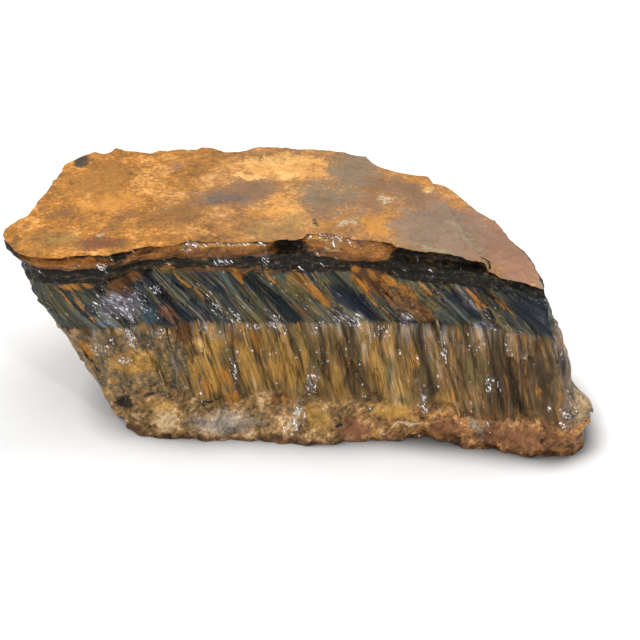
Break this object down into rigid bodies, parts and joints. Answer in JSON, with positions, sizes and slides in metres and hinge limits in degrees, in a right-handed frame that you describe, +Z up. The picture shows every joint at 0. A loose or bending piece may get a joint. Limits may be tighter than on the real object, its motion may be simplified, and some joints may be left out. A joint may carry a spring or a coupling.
{
  "type": "rough tigers eye",
  "caption": "Hand-sized slab of rough tiger's eye, lying flat: ochre skin, dark seam, leaning blue fibres, golden fibres and a lumpy quartz crust at the foot.",
  "frame": {"origin": "middle of the stone's footprint box, on the surface it lies on", "axes": "+X along the slab, +Y away from the broken front with the fibre bands, +Z up through the bands"},
  "size_m": [0.1537, 0.0779, 0.0544],
  "materials": {
    "tigers_eye_rock": "broken rock: matte ochre skin above, wet-looking fibrous blue and gold bands on the sides"
  },
  "bodies": {
    "root": {"rough_tigers_eye": "tigers_eye_rock"}
  },
  "joints": []
}
